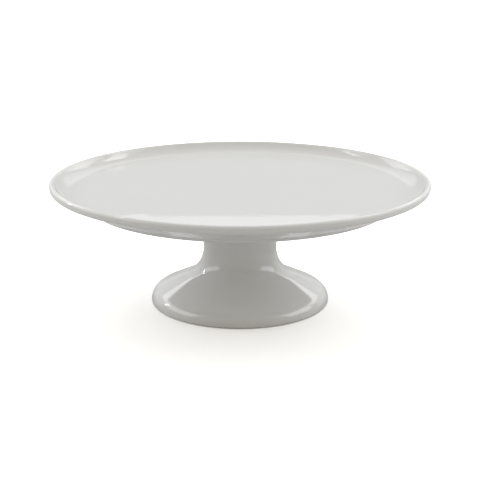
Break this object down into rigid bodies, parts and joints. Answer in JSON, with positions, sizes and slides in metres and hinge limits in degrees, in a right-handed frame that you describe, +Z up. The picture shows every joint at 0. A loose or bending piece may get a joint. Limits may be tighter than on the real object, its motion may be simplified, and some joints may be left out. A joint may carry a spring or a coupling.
{
  "type": "cake stand",
  "caption": "Round dished serving plate with a raised lip on a hollow flared pedestal, held together by a concealed star-knob screw.",
  "frame": {"origin": "centre of the foot, on the surface that the stand rests on", "axes": "+Z up along the stand's axis, from the foot to the plate; X and Y are alike, because the stand is round"},
  "size_m": [0.3, 0.3, 0.102],
  "materials": {
    "glazed_porcelain": "clear gloss glaze over white porcelain, bare on the foot rings",
    "silicone": "translucent white silicone, satin",
    "brass": "turned",
    "cement": "cured mineral-filled epoxy, matte",
    "black_rubber": "matte",
    "stainless_steel": "turned and brushed",
    "knob_plastic": "fine moulded texture"
  },
  "bodies": {
    "pedestal": {"pedestal": "glazed_porcelain", "seat_gasket": "silicone"},
    "plate": {"plate": "glazed_porcelain", "threaded_insert": "brass", "insert_cement": "cement"},
    "washers": {"rubber_washer": "black_rubber", "steel_washer": "stainless_steel"},
    "thumb_screw": {"knob_stud": "stainless_steel", "star_knob": "knob_plastic"}
  },
  "joints": [
    {"name": "plate_lift", "type": "slide", "parent": "pedestal", "child": "plate", "axis": [0, 0, 1], "range_m": [0, 0.06]},
    {"name": "screw_travel", "type": "slide", "parent": "pedestal", "child": "washers", "axis": [0, 0, -1], "range_m": [0, 0.0065]},
    {"name": "screw_turn", "type": "hinge", "parent": "washers", "child": "thumb_screw", "pos_m": [0, 0, 0.0719], "axis": [0, 0, -1], "range_deg": [0, 2340]}
  ],
  "couplings": [
    {"joint": "screw_travel", "follows": "screw_turn", "m_per_rad": 0.00015915}
  ]
}
